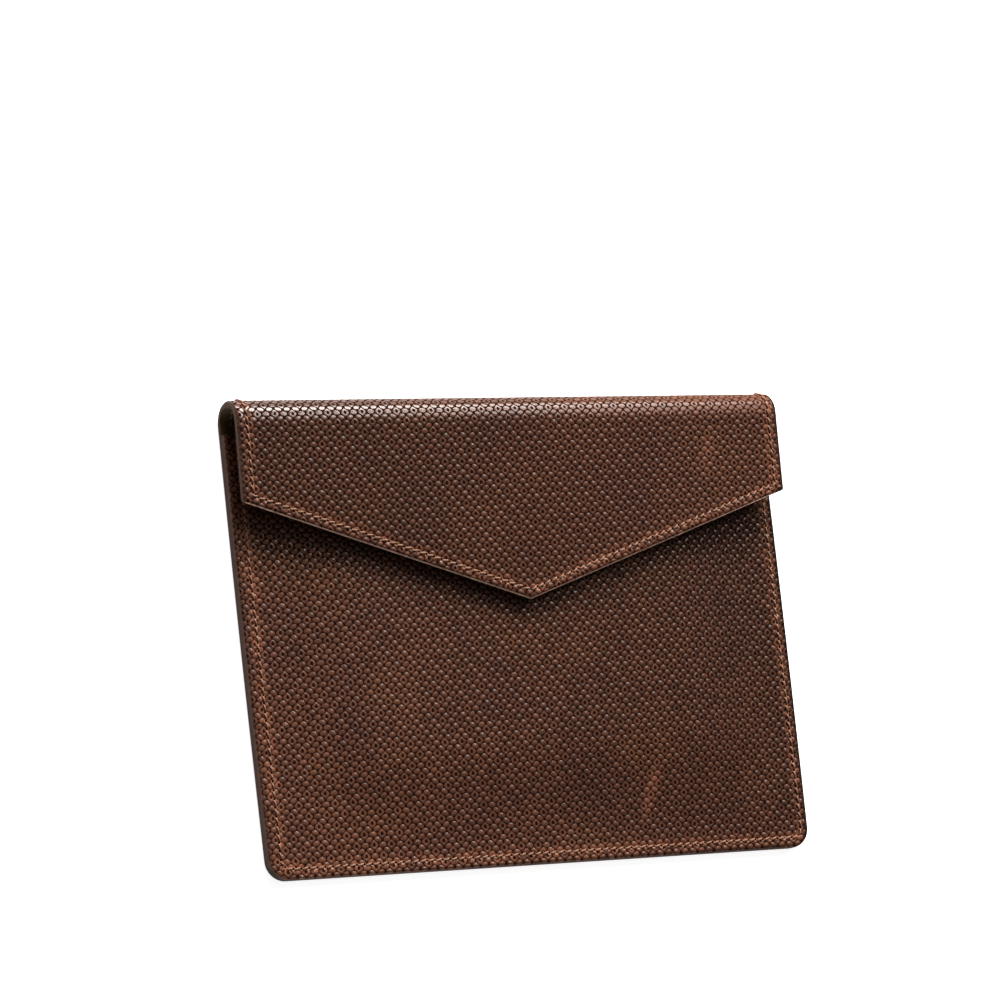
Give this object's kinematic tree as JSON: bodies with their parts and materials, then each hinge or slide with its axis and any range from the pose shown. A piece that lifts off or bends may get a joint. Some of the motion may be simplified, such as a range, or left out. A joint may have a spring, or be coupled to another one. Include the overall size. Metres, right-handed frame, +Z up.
{
  "type": "leather tablet sleeve",
  "caption": "Envelope-style tablet sleeve of thick embossed leather: a pocket sewn along its sides and bottom, closed by a pointed flap that folds over its mouth.",
  "frame": {"origin": "middle of the sleeve's width and length, on the surface that its back lies on", "axes": "+X across the sleeve to the right as its front is read, +Y from the bottom edge to the fold, +Z up out of the front"},
  "size_m": [0.2658, 0.2046, 0.0192],
  "materials": {
    "embossed_leather": "dark brown waxed leather, embossed, burnished edges"
  },
  "bodies": {
    "root": {"back_and_flap": "embossed_leather", "pocket_front": "embossed_leather"}
  },
  "joints": []
}
